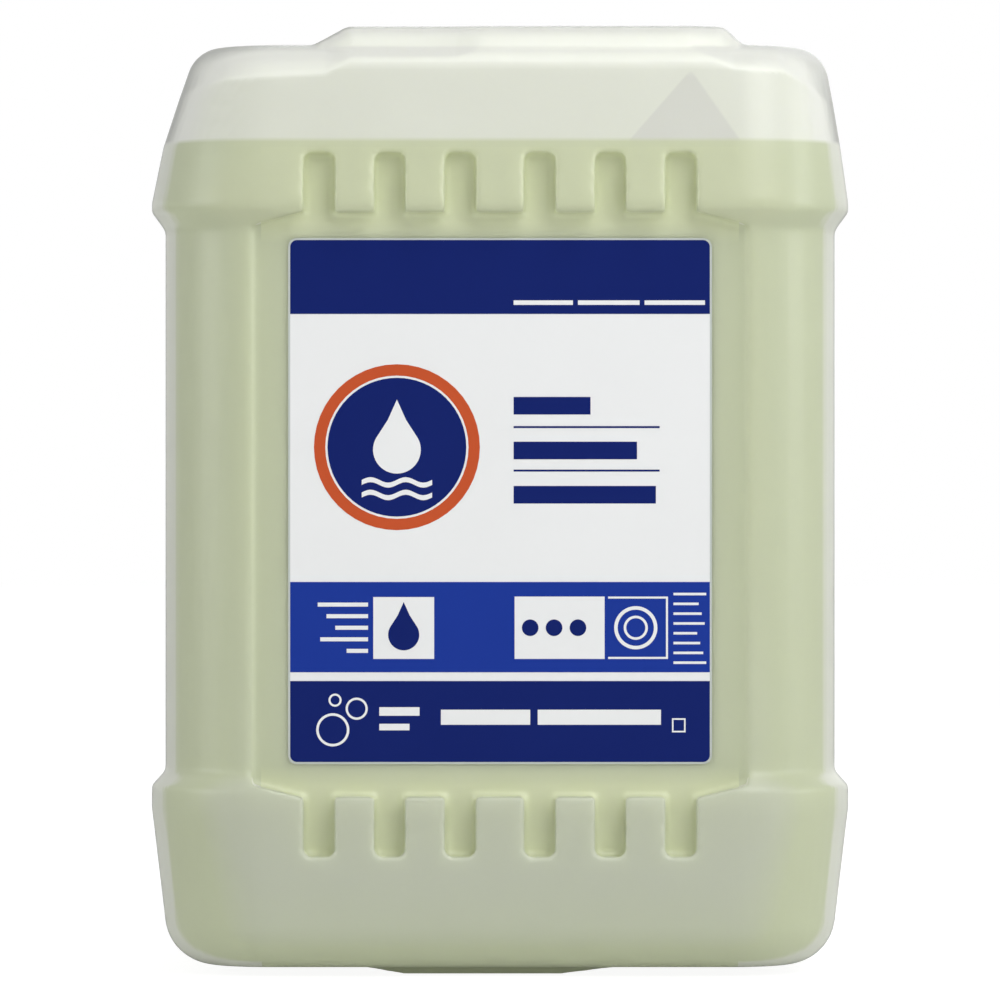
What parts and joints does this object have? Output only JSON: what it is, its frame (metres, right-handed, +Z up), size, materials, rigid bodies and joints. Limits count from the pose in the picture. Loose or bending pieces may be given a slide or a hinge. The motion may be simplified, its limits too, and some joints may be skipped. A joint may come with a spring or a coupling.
{
  "type": "bleach jug",
  "caption": "Closed-head translucent plastic jug filled with pale yellow-green liquid, with a moulded grip, a screw cap and a plain colour-band label.",
  "frame": {"origin": "centre of the footprint at the height of the base pad", "axes": "+Z up, front label towards -Y, +X to the right as seen from the front"},
  "size_m": [0.281, 0.241, 0.38],
  "materials": {
    "jug_plastic": "natural translucent HDPE, waxy satin",
    "bleach": "clear pale yellow-green liquid",
    "label_paper": "satin coated",
    "print_navy": "satin printed navy",
    "print_blue": "satin printed blue",
    "print_orange": "satin printed orange-red, used by the badge ring that the visual model adds",
    "cap_plastic": "satin white polypropylene",
    "liner_foam": "white foamed liner"
  },
  "bodies": {
    "jug": {"bottle": "jug_plastic", "bleach": "bleach", "label": "label_paper", "print_top_band": "print_navy", "print_blue_band": "print_blue", "print_base_band": "print_navy", "tamper_band": "cap_plastic"},
    "liner": {"cap_liner": "liner_foam"},
    "cap": {"screw_cap": "cap_plastic"}
  },
  "joints": [
    {"name": "cap_rise", "type": "slide", "parent": "jug", "child": "liner", "axis": [0, 0, 1], "range_m": [0, 0.03]},
    {"name": "cap_turn", "type": "hinge", "parent": "liner", "child": "cap", "pos_m": [-0.093, 0, 0.345], "axis": [0, 0, 1], "range_deg": [0, 1800]}
  ],
  "couplings": [
    {"joint": "cap_turn", "follows": "cap_rise", "rad_per_m": 1047}
  ]
}
